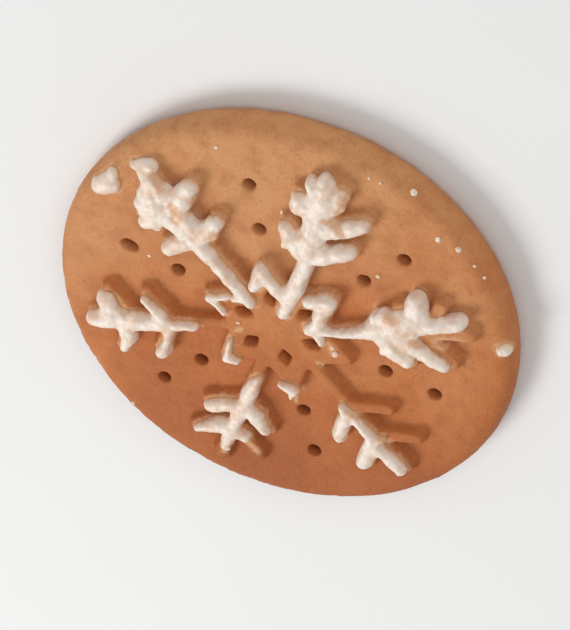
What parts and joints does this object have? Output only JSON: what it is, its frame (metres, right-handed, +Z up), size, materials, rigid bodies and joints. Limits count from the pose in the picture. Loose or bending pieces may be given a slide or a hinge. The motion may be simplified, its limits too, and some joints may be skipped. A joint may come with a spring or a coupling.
{
  "type": "iced speculoos biscuit",
  "caption": "Round spiced biscuit with a rounded rim, docker holes and a pressed snowflake, topped with uneven white icing.",
  "frame": {"origin": "middle of the underside, on the surface that the biscuit lies on", "axes": "+Z up out of the iced face, +X along one arm of the snowflake, the one whose icing runs past its tip's middle towards +Y"},
  "size_m": [0.0594, 0.0591, 0.0085],
  "materials": {
    "dough": "baked spiced dough, matt and finely pored, orange-brown",
    "icing": "dried sugar icing, satin, creamy white, thinner and browner at its edges"
  },
  "bodies": {
    "root": {"biscuit": "dough", "icing_upper_left": "icing", "icing_upper_right": "icing", "icing_right": "icing", "icing_left": "icing", "icing_lower_left": "icing", "icing_lower_right": "icing", "icing_star_left": "icing", "icing_star_lower_left": "icing", "icing_star_bottom": "icing", "icing_dab": "icing", "icing_bead": "icing"}
  },
  "joints": []
}
